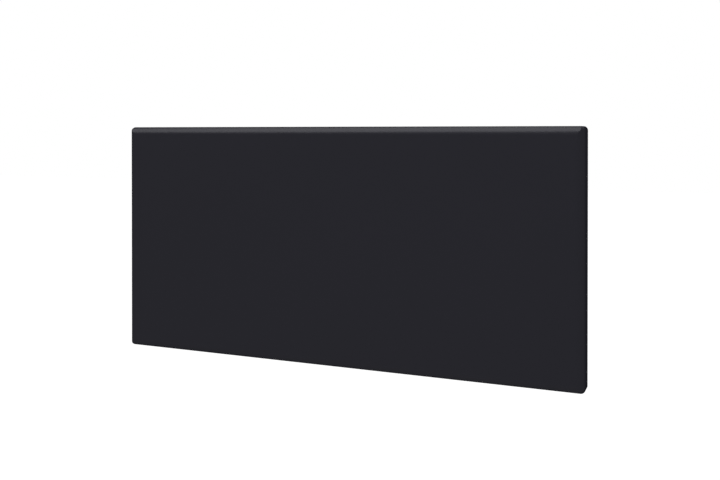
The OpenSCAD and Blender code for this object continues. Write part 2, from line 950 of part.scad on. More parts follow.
// Mains rocker switch: the long side is upright, and the rocker turns on a pin along Y
switch_face_h = 32;
switch_face_d = 16;
switch_face_t = 1.8;
switch_body_l = 16;
pocket_h = 23.4;
pocket_d = 9.6;
pocket_in = 7;
pivot_x = case_side - 1;
pivot_r = 1.2;
pivot_l = 11.6;
rocker_half_h = 10.2;
rocker_rest = -rocker_swing / 2;
module switch_body() {
    color(black_plastic)
        difference() {
            union() {
                translate([case_side, mid_y - switch_face_d / 2, switch_z - switch_face_h / 2])
                    cube([switch_face_t, switch_face_d, switch_face_h]);
                translate([case_side - switch_body_l, mid_y - switch_open_d / 2 + slide_play,
                        switch_z - switch_open_h / 2 + slide_play])
                    cube([switch_body_l + switch_face_t / 2, switch_open_d - 2 * slide_play,
                        switch_open_h - 2 * slide_play]);
            }
            translate([pivot_x - pocket_in, mid_y - pocket_d / 2, switch_z - pocket_h / 2])
                cube([2 * switch_body_l, pocket_d, pocket_h]);
            translate([pivot_x, mid_y + pivot_l / 2 + seat, switch_z])
                along_y(pivot_l + 2 * seat)
                    circle(pivot_r + hole_play / 2, $fn = 32);
        }
}

module switch_rocker() {
    rocker_d = pocket_d - 2 * slide_play;
    color([0.25, 0.25, 0.26])
        translate([pivot_x, mid_y, switch_z]) {
            translate([0, rocker_d / 2, 0])
                along_y(rocker_d)
                    rotate(-rocker_rest)
                        polygon([[-3, -8.5], [-3, 8.5], [1, 10], [4.2, rocker_half_h], [2.4, 0],
                            [4.2, -rocker_half_h], [1, -10]]);
            translate([0, pivot_l / 2, 0])
                along_y(pivot_l)
                    circle(pivot_r, $fn = 32);
        }
}

// Terminal block for the mains cord, with three poles
pole_pitch = 8.5;
clamp_r = 2;
module terminal_block() {
    color(white_plastic)
        translate([terminal_x, inner_back_y, terminal_z])
            difference() {
                along_y(terminal_d)
                    rounded_rectangle(terminal_w, terminal_h, 1);
                for (i = [-1:1]) {
                    translate([i * pole_pitch, -terminal_d / 2, -terminal_h])
                        cylinder(h = 2 * terminal_h, r = clamp_r, $fn = 24);
                    for (s = [-1, 1])
                        translate([i * pole_pitch, -terminal_d + 6, s * terminal_h / 4])
                            along_y(8)
                                circle(clamp_r + hole_play, $fn = 24);
                }
                translate([0, over, 0])
                    along_y(back_screw_l - case_t + 2 * over)
                        circle(back_screw_r + hole_play, $fn = 24);
            }
}

module terminal_screws() {
    color(bright_steel)
        for (i = [-1:1], s = [-1, 1])
            translate([terminal_x + i * pole_pitch, inner_back_y - terminal_d + 5.5,
                    terminal_z + s * terminal_h / 4])
                difference() {
                    along_y(4.5)
                        circle(clamp_r, $fn = 24);
                    translate([-clamp_r, -5, -0.3])
                        cube([2 * clamp_r, 1.5, 0.6]);
                }
}

module earth_stud() {
    color(bright_steel)
        translate([earth_x, inner_back_y, earth_z])
            along_y(12)
                circle(2, $fn = 32);
}

module earth_nut() {
    color(zinc)
        translate([earth_x, inner_back_y, earth_z])
            along_y(3.2)
                difference() {
                    circle(4, $fn = 6);
                    circle(2 + hole_play, $fn = 32);
                }
}

// Strain relief in the casing's underside: the cord itself is not part of the model
gland_flange_r = 10.5;
gland_flange_t = 3;
gland_l = 16;
gland_nut_t = 5;
module cable_gland() {
    color(black_plastic)
        translate([gland_x, mid_y, -case_top])
            difference() {
                union() {
                    translate([0, 0, -gland_flange_t])
                        cylinder(h = gland_flange_t, r1 = gland_flange_r - 1.5, r2 = gland_flange_r);
                    translate([0, 0, -gland_flange_t / 2])
                        cylinder(h = gland_l + gland_flange_t / 2, r = gland_r);
                }
                translate([0, 0, -gland_flange_t - over])
                    cylinder(h = gland_l + gland_flange_t + 2 * over, r = cord_r);
            }
}

module gland_nut() {
    color(black_plastic)
        translate([gland_x, mid_y, -inner_top])
            linear_extrude(gland_nut_t)
                difference() {
                    circle(gland_r + 4, $fn = 6);
                    circle(gland_r + hole_play);
                }
}

// Inner leads, laid near the casing's back: the straight runs at their ends and the slopes between depths
lead_r = 1.1;
lead_bend = 6;
lead_pitch = 4;
lead_out = 14;
lead_in = 10;
lead_tip = 8;
lead_slope = 20;
lead_rise = 50;
lead_y = inner_back_y - 4;
lead_top = board_top - board_t - seat;
housing_floor = case_top - control_h;
passage_x = control_x + housing_w / 2 - passage_in;
tab_end_x = rod_half + pin_l - 2 + tab_l;
clamp_y = inner_back_y - terminal_d / 2;
clamp_top = terminal_z + terminal_h / 2 + seat;
cutout_tab_y = cutout_y - hanger_t - cutout_d + 1 + tab_t / 2;
cutout_tab_end = cutout_r - 1 + tab_l;
switch_tab_z = switch_z - 6;
live_brown = [0.45, 0.25, 0.1];
neutral_blue = [0.15, 0.3, 0.7];

module lead(corners, colour, first) {
    color(colour)
        swept_tube(route(corners, lead_bend), lead_r, first);
}

module element_lead_right() {
    x = passage_x - lead_pitch;
    lead([[tab_end_x + seat, element_y, element_z], [x, element_y, element_z],
        [x, mid_y, element_z + lead_rise], [x, mid_y, lead_top]],
        live_brown, [0, 0, 1]);
}

module element_lead_left() {
    start_x = -tab_end_x - seat;
    x = start_x - lead_out;
    end_x = cutout_x - cutout_tab_end - seat;
    lead([[start_x, element_y, element_z], [x, element_y, element_z],
        [x, lead_y, element_z + lead_in + lead_slope], [x, lead_y, cutout_z],
        [end_x - lead_slope, lead_y, cutout_z], [end_x - lead_tip, cutout_tab_y, cutout_z],
        [end_x, cutout_tab_y, cutout_z]],
        neutral_blue, [0, 0, 1]);
}

module cutout_lead() {
    lead([[cutout_x + cutout_tab_end + seat, cutout_tab_y, cutout_z], [passage_x, cutout_tab_y, cutout_z],
        [passage_x, mid_y, cutout_z + lead_slope], [passage_x, mid_y, lead_top]],
        neutral_blue, [0, 0, 1]);
}

module control_lead() {
    x = passage_x + lead_pitch;
    lead([[terminal_x, clamp_y, clamp_top], [terminal_x, clamp_y, clamp_top + lead_out],
        [x, lead_y, clamp_top + lead_out + lead_slope], [x, lead_y, housing_floor - lead_in - lead_slope],
        [x, mid_y, housing_floor - lead_in], [x, mid_y, lead_top]],
        neutral_blue, [1, 0, 0]);
}

module switch_lead() {
    clamp_x = terminal_x + pole_pitch;
    end_x = case_side - switch_body_l - seat;
    lead([[clamp_x, clamp_y, clamp_top], [clamp_x, clamp_y, clamp_top + lead_out],
        [end_x - lead_tip, mid_y, switch_tab_z], [end_x, mid_y, switch_tab_z]],
        live_brown, [1, 0, 0]);
}

// Wall bracket: two channels with hooks, held together by two rails
web_front = -rail_t - upright_t;
channel_front = bracket_space - wall_gap;
upright_foot = 15;
upright_head = 12;
upright_bottom = lower_slot_top - upright_foot;
upright_top = upper_slot_top + upright_head;
rivet_r = 2;
rivet_x = 12;
hook_top = lower_slot_top - seat;
guide_play = 0.1;
peg_r = 2;
peg_drop = 12;
peg_pitch = 18;
peg_zs = [upper_slot_top - peg_drop, upper_slot_top - peg_drop - peg_pitch];

module bracket_upright(s) {
    x = s * hole_w / 2;
    color(zinc)
        difference() {
            union() {
                translate([x, -rail_t, upright_bottom])
                    linear_extrude(upright_top - upright_bottom)
                        mirror([0, 1])
                            difference() {
                                tray_outline(channel_w, -rail_t - channel_front, channel_fold);
                                translate([0, upright_t])
                                    tray_outline(channel_w - 2 * upright_t, -channel_front,
                                        channel_fold - upright_t);
                            }
                for (sf = [-1, 1])
                    translate([x + sf * (channel_w - upright_t) / 2, 0, hook_top])
                        along_x(hook_t)
                            polygon([[channel_front + 3, -hook_arm], [hook_tip_front + 2, -hook_arm],
                                [hook_tip_front, 2 - hook_arm], [hook_tip_front, hook_tip - 3],
                                [hook_tip_front + 2, hook_tip], [hook_tip_back - 1, hook_tip],
                                [hook_tip_back, hook_tip - 1], [hook_tip_back, 0], [channel_front + 3, 0]]);
            }
            // Wall screw holes, rivet holes, and holes for the latch guide's pegs
            for (sz = [-1, 1])
                translate([x, over, sz * hole_h / 2]) {
                    along_y(-web_front + 2 * over)
                        circle(hole_r);
                    for (sx = [-1, 1])
                        translate([sx * rivet_x, 0, 0])
                            along_y(-web_front + 2 * over)
                                circle(rivet_r + hole_play, $fn = 24);
                }
            for (z = peg_zs)
                translate([x, over, z])
                    along_y(-web_front + 2 * over)
                        circle(peg_r + hole_play, $fn = 24);
        }
}

// Rail: a strip against the wall, with folded edges between the uprights
rail_lip = 7;
module bracket_rail(s) {
    full_w = hole_w + channel_w;
    lip_w = hole_w - channel_w - 2;
    color(zinc)
        translate([0, 0, s * hole_h / 2])
            difference() {
                union() {
                    along_y(rail_t)
                        rounded_rectangle(full_w, rail_h, 3);
                    for (sz = [-1, 1])
                        translate([-lip_w / 2, -rail_lip, sz > 0 ? rail_h / 2 - rail_t : -rail_h / 2])
                            cube([lip_w, rail_lip, rail_t]);
                }
                for (sx = [-1, 1])
                    translate([sx * hole_w / 2, over, 0]) {
                        along_y(rail_t + 2 * over)
                            circle(hole_r);
                        for (sr = [-1, 1])
                            translate([sr * rivet_x, 0, 0])
                                along_y(rail_t + 2 * over)
                                    circle(rivet_r + hole_play, $fn = 24);
                    }
            }
}

module bracket_rivets() {
    color(bright_steel)
        for (sx = [-1, 1], sz = [-1, 1], sr = [-1, 1])
            translate([sx * hole_w / 2 + sr * rivet_x, 0, sz * hole_h / 2]) {
                translate([0, -seat, 0])
                    along_y(-web_front - seat + 0.5)
                        circle(rivet_r, $fn = 24);
                translate([0, web_front, 0])
                    rotate([90, 0, 0])
                        cylinder(h = 1.2, r1 = 3.6, r2 = 2.4, $fn = 32);
            }
}

// Latch: a slider in a moulded guide, pushed up by a spring
guide_wall = 1.5;
guide_cap = 2;
guide_w = 23;
cavity_w = guide_w - 2 * guide_wall;
cavity_d = 6;
mouth_w = 12;
slider_h = 20;
spring_l = 16;
arm_top = upper_slot_top - seat;
slider_bottom = arm_top - slider_h;
spring_bottom = slider_bottom - spring_l;
cavity_y = web_front - guide_wall;
guide_front = cavity_y - cavity_d - guide_wall;
tab_front = guide_front - slide_play - 2.4;
tab_top = case_top - 8;
pad_h = 8;

module latch_guide(s) {
    x = s * hole_w / 2;
    color(black_plastic)
        difference() {
            union() {
                translate([x, web_front, spring_bottom - guide_cap])
                    linear_extrude(arm_top + slide_play + 2 * guide_cap - spring_bottom)
                        translate([-guide_w / 2, -(web_front - guide_front)])
                            square([guide_w, web_front - guide_front]);
                for (z = peg_zs)
                    translate([x, -rail_t + seat, z])
                        along_y(upright_t + guide_wall / 2 + seat)
                            circle(peg_r, $fn = 24);
            }
            translate([x, cavity_y, spring_bottom])
                linear_extrude(arm_top + slide_play - spring_bottom) {
                    translate([-cavity_w / 2, -cavity_d])
                        square([cavity_w, cavity_d]);
                    translate([-mouth_w / 2, -cavity_d - guide_wall - over])
                        square([mouth_w, cavity_d + guide_wall + over]);
                }
        }
}

module latch(s) {
    x = s * hole_w / 2;
    body_w = cavity_w - 2 * slide_play;
    neck_w = mouth_w - 2 * slide_play;
    color(black_plastic)
        translate([x, 0, 0]) {
            translate([-body_w / 2, cavity_y - cavity_d + slide_play, slider_bottom])
                cube([body_w, cavity_d - 2 * slide_play, slider_h]);
            translate([-neck_w / 2, tab_front, slider_bottom])
                cube([neck_w, cavity_y - cavity_d / 2 - tab_front, slider_h]);
            // Hooked arm through the casing's slot
            along_x(latch_w)
                polygon([[tab_front + over, arm_top - latch_arm], [hook_tip_front + 1, arm_top - latch_arm],
                    [hook_tip_front, arm_top - latch_arm + 1], [hook_tip_front, arm_top + 1],
                    [hook_tip_back - 2, arm_top + latch_tip], [hook_tip_back, arm_top + latch_tip],
                    [hook_tip_back, arm_top], [tab_front + over, arm_top]]);
            // Thumb tab that reaches up behind the heater
            translate([-neck_w / 2, tab_front, arm_top - over])
                cube([neck_w, 2.4, tab_top - arm_top + over]);
            translate([0, tab_front + 2.4, tab_top])
                along_y(2.4)
                    translate([0, -pad_h / 2])
                        rounded_rectangle(neck_w + 5, pad_h, 2);
        }
}

// Compression spring between the guide's floor and the slider
wire_r = 0.3;
coil_r = 2.1;
coil_turns = 7;
coil_steps = 10;
module latch_spring(s) {
    rise = spring_l - 2 * wire_r - 2 * guide_play;
    turn_gap = rise / coil_turns - 2 * wire_r;
    p = [for (i = [0:coil_turns * coil_steps])
        let (a = 360 * i / coil_steps)
        [s * hole_w / 2 + coil_r * cos(a), cavity_y - cavity_d / 2 + coil_r * sin(a),
            spring_bottom + guide_play + wire_r + rise * i / (coil_turns * coil_steps)]];
    echo(spring_turn_gap = turn_gap);
    color(bright_steel)
        swept_tube(p, wire_r, [1, 0, 0], 6);
}

front_panel();
front_stiffener();
rear_casing();
outlet_grille();
casing_screws();
back_screws();
element_profile();
element_rod();
element_terminals();
element_hanger(-1);  // element_hanger_left
element_hanger(1);  // element_hanger_right
element_bush(-1);  // element_bush_left
element_bush(1);  // element_bush_right
heat_shield();
shield_screws();
overheat_cutout();
cutout_bracket();
control_housing();
control_bezel();
control_screws();
display_window();
display_module();
circuit_board();
tact_switches();
relay();
power_supply();
button_power();
button_minus();
button_plus();
room_sensor();
sensor_holder();
switch_body();
switch_rocker();
terminal_block();
terminal_screws();
earth_stud();
earth_nut();
cable_gland();
gland_nut();
element_lead_right();
element_lead_left();
cutout_lead();
control_lead();
switch_lead();
bracket_upright(-1);  // bracket_upright_left
bracket_upright(1);  // bracket_upright_right
bracket_rail(1);  // bracket_rail_upper
bracket_rail(-1);  // bracket_rail_lower
bracket_rivets();
latch_guide(-1);  // latch_guide_left
latch_guide(1);  // latch_guide_right
latch(-1);  // latch_left
latch(1);  // latch_right
latch_spring(-1);  // latch_spring_left
latch_spring(1);  // latch_spring_right
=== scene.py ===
"""Finishes, small trim and studio of a wall-hung convector heater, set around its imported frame."""
import json
import math

import bmesh
import bpy
from mathutils import Matrix, Vector


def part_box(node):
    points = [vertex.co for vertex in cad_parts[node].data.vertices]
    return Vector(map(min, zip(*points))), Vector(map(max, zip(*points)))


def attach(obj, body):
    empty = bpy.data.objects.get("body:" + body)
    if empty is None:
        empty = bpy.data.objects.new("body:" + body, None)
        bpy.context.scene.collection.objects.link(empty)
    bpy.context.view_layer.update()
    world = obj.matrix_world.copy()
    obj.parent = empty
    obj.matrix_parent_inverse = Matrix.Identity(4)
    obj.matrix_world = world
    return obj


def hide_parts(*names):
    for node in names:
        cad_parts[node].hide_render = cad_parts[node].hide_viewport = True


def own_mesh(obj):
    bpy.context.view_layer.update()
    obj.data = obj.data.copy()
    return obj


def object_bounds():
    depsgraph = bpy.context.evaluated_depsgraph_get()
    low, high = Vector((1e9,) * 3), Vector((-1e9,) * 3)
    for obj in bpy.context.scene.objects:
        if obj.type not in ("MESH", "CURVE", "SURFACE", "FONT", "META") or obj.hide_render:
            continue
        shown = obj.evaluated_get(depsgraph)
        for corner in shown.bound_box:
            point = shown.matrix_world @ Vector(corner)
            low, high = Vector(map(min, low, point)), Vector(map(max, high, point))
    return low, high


bl_info = {
    "name": "Convector Heater",
    "version": (1, 0, 0),
    "blender": (4, 5, 0),
    "location": "3D View > Sidebar > Heater",
    "description": "Finishes, small trim and studio of a wall-hung convector heater",
    "category": "Object",
}

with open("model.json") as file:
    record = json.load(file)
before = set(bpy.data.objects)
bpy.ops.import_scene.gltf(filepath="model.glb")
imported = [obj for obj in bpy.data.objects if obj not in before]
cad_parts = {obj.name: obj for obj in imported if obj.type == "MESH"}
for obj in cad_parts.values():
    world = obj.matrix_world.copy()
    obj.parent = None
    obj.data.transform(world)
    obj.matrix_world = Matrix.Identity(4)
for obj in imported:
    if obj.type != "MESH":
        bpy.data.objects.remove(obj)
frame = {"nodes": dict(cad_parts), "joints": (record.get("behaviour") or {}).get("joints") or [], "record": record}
CAD_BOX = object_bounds()
MM = 0.001
MERGE_DISTANCE = 0.001 * MM
CREASE_ANGLE = math.radians(40)
COIL_STEPS = 24
RING_STEPS = 40
QUARTER_TURN = math.pi / 2
WHITE = (1, 1, 1, 1)


def colour_property(name, description, default):
    """Colour setting, in linear red, green and blue."""
    return bpy.props.FloatVectorProperty(
        name=name, description=description, default=default, subtype="COLOR", size=3, min=0, max=1)


def length_property(name, description, default):
    """Length setting, in metres."""
    return bpy.props.FloatProperty(
        name=name, description=description, default=default, min=0, unit="LENGTH", precision=5)


def angle_property(name, description, degrees):
    """Angle setting, given in degrees."""
    return bpy.props.FloatProperty(
        name=name, description=description, default=math.radians(degrees), subtype="ANGLE")


def level_property(name, description, default):
    """Power of a lamp in watts, or a plain brightness."""
    return bpy.props.FloatProperty(name=name, description=description, default=default, min=0)


class HeaterColours(bpy.types.PropertyGroup):
    """Colours of the heater's finishes"""
    paint: colour_property(
        "Powder coat", "Anthracite of the front panel and rear casing", (0.0129, 0.0127, 0.018))
    zinc: colour_property(
        "Galvanised sheet", "Zinc on the bracket, hangers and screws", (0.5, 0.52, 0.54))
    steel: colour_property(
        "Bright steel", "Bright sheet, rod and rivets", (0.62, 0.62, 0.61))
    aluminium: colour_property(
        "Aluminium", "Extruded profile of the heating element", (0.72, 0.73, 0.74))
    plastic: colour_property(
        "Black plastic", "Grille, bezel, gland and latches", (0.012, 0.012, 0.013))
    button: colour_property(
        "Button plastic", "Button caps and the mains rocker", (0.05, 0.05, 0.053))
    white: colour_property(
        "White plastic", "Terminal block and display housing", (0.68, 0.68, 0.65))
    silicone: colour_property(
        "Silicone", "Bushes that carry the heating rod", (0.6, 0.58, 0.54))
    lens: colour_property(
        "Display lens", "Dark gloss lens over the display", (0.004, 0.004, 0.005))
    laminate: colour_property(
        "Board", "Solder mask of the circuit board", (0.008, 0.09, 0.035))
    tape: colour_property(
        "Coil tape", "Tape round the power supply's coil", (0.6, 0.42, 0.05))
    brass: colour_property(
        "Brass", "Clamping screws of the terminal block", (0.6, 0.42, 0.16))
    brown: colour_property(
        "Live lead", "Insulation of the live leads", (0.1, 0.035, 0.015))
    blue: colour_property(
        "Neutral lead", "Insulation of the neutral leads", (0.015, 0.06, 0.3))


class HeaterTrim(bpy.types.PropertyGroup):
    """Sizes of the leads, springs and printed signs"""
    lead_radius: length_property("Lead radius", "Outer radius of an inner lead", 1.1 * MM)
    lead_bend: length_property(
        "Lead bend", "Where a lead starts to turn, before its corner", 6 * MM)
    lead_gap: length_property("Lead gap", "Gap between a lead's end and its terminal", 0.2 * MM)
    lead_pitch: length_property(
        "Lead pitch", "Distance between the leads in the housing's passage", 4 * MM)
    lead_out: length_property("Lead out", "Straight run out of a terminal", 14 * MM)
    lead_in: length_property("Lead in", "Straight run below the control housing", 10 * MM)
    lead_tip: length_property("Lead tip", "Straight run into a flat tab", 8 * MM)
    lead_slope: length_property("Lead slope", "Run in which a lead changes its depth", 20 * MM)
    lead_rise: length_property(
        "Lead rise", "Run in which the right element lead changes its depth", 50 * MM)
    passage_inset: length_property(
        "Passage inset", "From the housing's side to the passage's middle lead", 9 * MM)
    tab_inset: length_property("Tab inset", "From the cut-out's front to its tabs", 1.4 * MM)
    pole_pitch: length_property(
        "Pole pitch", "From the terminal block's middle clamp to the next one", 8.5 * MM)
    tab_drop: length_property("Tab drop", "From the switch's middle down to its tab", 6 * MM)
    wire_radius: length_property(
        "Spring wire radius", "Radius of the latch springs' wire", 0.3 * MM)
    coil_radius: length_property(
        "Spring radius", "Radius of the coil at the middle of the wire", 2.1 * MM)
    coil_turns: bpy.props.IntProperty(
        name="Spring turns", description="Turns of a latch spring", default=7, min=2)
    sign_size: length_property("Sign size", "Height of a sign on a button", 4.6 * MM)
    sign_opening: angle_property("Sign opening", "Opening in the power sign's ring", 70)
    sign_stroke: length_property("Sign stroke", "Width of a printed line", 0.7 * MM)
    print_thickness: length_property(
        "Print thickness", "How far the print stands on the plastic", 0.05 * MM)
    mark_size: length_property("Mark size", "Height of a mark on the mains rocker", 4 * MM)
    mark_place: length_property("Mark place", "From the rocker's middle to a mark", 5.6 * MM)
    rocker_hollow: length_property(
        "Rocker hollow", "From the rocker's pin to the middle of its face", 2.4 * MM)
    rocker_slope: angle_property("Rocker slope", "Lean of each half of the rocker's face", 10)


class HeaterStudio(bpy.types.PropertyGroup):
    """Camera, lamps and floor"""
    camera_place: bpy.props.FloatVectorProperty(
        name="Camera", description="Where the camera stands", default=(0.5426, -1.3536, 0.176),
        subtype="TRANSLATION", size=3)
    camera_turn: angle_property("Camera turn", "Turn of the camera towards the left", 23.33)
    camera_rise: angle_property("Camera rise", "Tilt of the camera above the horizon", -0.356)
    lens: bpy.props.FloatProperty(
        name="Lens", description="Focal length on a 36 mm sensor", default=45.06, min=1,
        unit="CAMERA")
    shift: bpy.props.FloatVectorProperty(
        name="Shift", description="Shift of the frame, across and up", default=(0.042, -0.1415),
        size=2)
    floor: colour_property("Floor", "Pale floor under the heater", (0.8, 0.8, 0.8))
    floor_drop: length_property("Floor drop", "From the heater's lower edge to the floor", 1.6)
    floor_reach: length_property("Floor reach", "From the floor's middle to its edge", 30)
    floor_glow: level_property("Floor glow", "Brightness that the floor shows the camera", 0.56)
    lamp_height: length_property("Top lamp height", "Overhead softbox above the heater", 1.5)
    gloss_height: length_property("Gloss panel height", "Gloss panel above the heater", 1.3)
    top_power: level_property("Top lamp", "Watts of the overhead softbox", 12)
    fill_power: level_property("Front lamp", "Watts of the softbox in front", 22)
    gloss_power: level_property(
        "Gloss panel", "Watts of the panel that shows only in reflections", 131)
    rear_gloss_power: level_property(
        "Rear gloss panel", "Watts of the same behind the heater", 40)
    world_level: level_property("Surroundings", "Plain level of the light all round", 0.62)


def link(tree, source, target):
    """Joins two sockets."""
    tree.links.new(source, target)


def new_finish(name):
    """Empty material with its tree and main shader."""
    material = bpy.data.materials.new(name)
    material.use_nodes = True
    tree = material.node_tree
    return material, tree, tree.nodes["Principled BSDF"]


def pattern_space(tree, stretch=(1, 1, 1)):
    """Object coordinates, scaled for a pattern that runs in one direction."""
    place = tree.nodes.new("ShaderNodeTexCoord")
    mapping = tree.nodes.new("ShaderNodeMapping")
    mapping.inputs["Scale"].default_value = stretch
    link(tree, place.outputs["Object"], mapping.inputs["Vector"])
    return mapping.outputs["Vector"]


def noise(tree, space, grain, detail=2.0):
    """Noise whose spots are about grain metres wide."""
    node = tree.nodes.new("ShaderNodeTexNoise")
    node.inputs["Scale"].default_value = 1 / grain
    node.inputs["Detail"].default_value = detail
    link(tree, space, node.inputs["Vector"])
    return node.outputs["Fac"]


def ranged(tree, factor, source, target, smooth=False):
    """Factor whose source range, from low to high, is stretched over the target range."""
    node = tree.nodes.new("ShaderNodeMapRange")
    if smooth:
        node.interpolation_type = "SMOOTHSTEP"
    node.inputs["From Min"].default_value, node.inputs["From Max"].default_value = source
    node.inputs["To Min"].default_value, node.inputs["To Max"].default_value = target
    link(tree, factor, node.inputs["Value"])
    return node.outputs["Result"]


def toned(colour, share):
    """A colour made lighter or darker by a share of itself."""
    return tuple(min(1.0, c * (1 + share)) for c in colour) + (1.0,)


def tint(tree, shader, factor, colour, darker, lighter):
    """Base colour that wanders between a darker and a lighter tone."""
    node = tree.nodes.new("ShaderNodeMix")
    node.data_type = "RGBA"
    node.inputs["A"].default_value = toned(colour, -darker)
    node.inputs["B"].default_value = toned(colour, lighter)
    link(tree, factor, node.inputs["Factor"])
    link(tree, node.outputs["Result"], shader.inputs["Base Color"])


def roughen(tree, shader, factor, low, high):
    """Uneven roughness, from a noise that keeps to the middle of its range."""
    rough = ranged(tree, factor, source=(0.3, 0.7), target=(low, high))
    link(tree, rough, shader.inputs["Roughness"])


def relief(tree, shader, height, depth, before=None):
    """Bump of a given depth in metres, over another bump if there is one."""
    node = tree.nodes.new("ShaderNodeBump")
    node.inputs["Strength"].default_value = 1.0
    node.inputs["Distance"].default_value = depth
    link(tree, height, node.inputs["Height"])
    if before:
        link(tree, before, node.inputs["Normal"])
    link(tree, node.outputs["Normal"], shader.inputs["Normal"])
    return node.outputs["Normal"]


def moulded(name, colour, rough, grain, depth, gloss=0.5):
    """Plastic, rubber or tape: cloudy colour, uneven gloss and a fine even grain."""
    material, tree, shader = new_finish(name)
    space = pattern_space(tree)
    fine = noise(tree, space, grain, detail=3.0)
    tint(tree, shader, noise(tree, space, 60 * MM), colour, darker=0.08, lighter=0.08)
    roughen(tree, shader, fine, low=rough - 0.05, high=rough + 0.05)
    shader.inputs["Specular IOR Level"].default_value = gloss
    relief(tree, shader, fine, depth)
    return material


def satin(tree, strength):
    """Gloss that is full in a square view and fades out towards a grazing one."""
    view = tree.nodes.new("ShaderNodeLayerWeight")
    return ranged(tree, view.outputs["Facing"], source=(0.1, 0.8), target=(strength, 0.01),
                  smooth=True)


def powder_coat(name, colour):
    """Satin powder coat: a soft orange peel with fine grains in it, under a thin clear gloss."""
    material, tree, shader = new_finish(name)
    space = pattern_space(tree)
    peel = noise(tree, space, 1.6 * MM)
    grains = noise(tree, space, 0.35 * MM, detail=3.0)
    tint(tree, shader, noise(tree, space, 180 * MM), colour, darker=0.05, lighter=0.05)
    roughen(tree, shader, grains, low=0.28, high=0.36)
    shader.inputs["Specular IOR Level"].default_value = 0
    link(tree, satin(tree, strength=0.2), shader.inputs["Coat Weight"])
    shader.inputs["Coat Roughness"].default_value = 0.32
    soft = relief(tree, shader, peel, depth=0.006 * MM)
    both = relief(tree, shader, grains, depth=0.002 * MM, before=soft)
    link(tree, both, shader.inputs["Coat Normal"])
    return material


def galvanised(name, colour, spangle):
    """Zinc coat: crystals of differing brightness, each with its own gloss."""
    material, tree, shader = new_finish(name)
    space = pattern_space(tree)
    crystals = tree.nodes.new("ShaderNodeTexVoronoi")
    crystals.inputs["Scale"].default_value = 1 / spangle
    link(tree, space, crystals.inputs["Vector"])
    tone = tree.nodes.new("ShaderNodeSeparateColor")
    link(tree, crystals.outputs["Color"], tone.inputs["Color"])
    tint(tree, shader, tone.outputs["Red"], colour, darker=0.14, lighter=0.1)
    roughen(tree, shader, tone.outputs["Green"], low=0.38, high=0.52)
    shader.inputs["Metallic"].default_value = 1.0
    relief(tree, shader, noise(tree, space, 0.8 * MM, detail=3.0), depth=0.004 * MM)
    return material


def drawn_metal(name, colour, rough, stretch):
    """Rolled, drawn or extruded metal: fine lines along the direction that stretch makes least."""
    material, tree, shader = new_finish(name)
    lines = noise(tree, pattern_space(tree, stretch), 0.6 * MM, detail=4.0)
    cloud = noise(tree, pattern_space(tree), 40 * MM)
    tint(tree, shader, cloud, colour, darker=0.08, lighter=0.06)
    roughen(tree, shader, lines, low=rough - 0.07, high=rough + 0.07)
    shader.inputs["Metallic"].default_value = 1.0
    relief(tree, shader, lines, depth=0.004 * MM)
    return material


def lens_gloss(name, colour):
    """Dark polished lens with faint smears."""
    material, tree, shader = new_finish(name)
    smears = noise(tree, pattern_space(tree), 9 * MM, detail=4.0)
    tint(tree, shader, smears, colour, darker=0.1, lighter=0.1)
    roughen(tree, shader, smears, low=0.05, high=0.12)
    shader.inputs["Specular IOR Level"].default_value = 0.15
    relief(tree, shader, smears, depth=0.002 * MM)
    return material


def laminate(name, colour):
    """Circuit board: tracks under a solder mask."""
    material, tree, shader = new_finish(name)
    tracks = tree.nodes.new("ShaderNodeTexBrick")
    tracks.inputs["Scale"].default_value = 1 / (5 * MM)
    tracks.inputs["Mortar Size"].default_value = 0.06
    tracks.inputs["Color1"].default_value = toned(colour, 0)
    tracks.inputs["Color2"].default_value = toned(colour, -0.25)
    tracks.inputs["Mortar"].default_value = toned(colour, 0.9)
    link(tree, pattern_space(tree), tracks.inputs["Vector"])
    link(tree, tracks.outputs["Color"], shader.inputs["Base Color"])
    weave = noise(tree, pattern_space(tree), 0.5 * MM)
    roughen(tree, shader, weave, low=0.3, high=0.42)
    relief(tree, shader, tracks.outputs["Fac"], depth=0.03 * MM)
    return material


def finishes(colours):
    """One finish for each of the record's material slots."""
    return {
        "anthracite_paint": powder_coat("anthracite_powder_coat", colours.paint),
        "zinc_steel": galvanised("galvanised_steel", colours.zinc, spangle=5 * MM),
        "bright_steel": drawn_metal(
            "bright_steel", colours.steel, rough=0.28, stretch=(0.06, 1, 1)),
        "element_aluminium": drawn_metal(
            "extruded_aluminium", colours.aluminium, rough=0.32, stretch=(0.02, 1, 1)),
        "terminal_brass": drawn_metal(
            "turned_brass", colours.brass, rough=0.25, stretch=(1, 0.1, 1)),
        "black_plastic": moulded(
            "black_moulding", colours.plastic, rough=0.55, grain=0.45 * MM, depth=0.012 * MM,
            gloss=0.15),
        "button_plastic": moulded(
            "button_moulding", colours.button, rough=0.42, grain=0.3 * MM, depth=0.004 * MM,
            gloss=0.2),
        "white_plastic": moulded(
            "white_moulding", colours.white, rough=0.4, grain=0.5 * MM, depth=0.006 * MM),
        "silicone": moulded(
            "silicone_rubber", colours.silicone, rough=0.62, grain=0.8 * MM, depth=0.01 * MM,
            gloss=0.35),
        "coil_yellow": moulded(
            "coil_tape", colours.tape, rough=0.3, grain=1.5 * MM, depth=0.02 * MM),
        "lead_brown": moulded(
            "brown_insulation", colours.brown, rough=0.45, grain=0.8 * MM, depth=0.01 * MM),
        "lead_blue": moulded(
            "blue_insulation", colours.blue, rough=0.45, grain=0.8 * MM, depth=0.01 * MM),
        "dark_lens": lens_gloss("display_lens", colours.lens),
        "board_laminate": laminate("board_laminate", colours.laminate),
    }


def slot_of(node):
    """The record's material slot of a node."""
    subparts = frame["record"]["subparts"]
    return next(part["material_slot"] for part in subparts if part["node"] == node)


def joint_named(name):
    """The frame's joint with a name."""
    return next(joint for joint in frame["joints"] if joint["name"] == name)


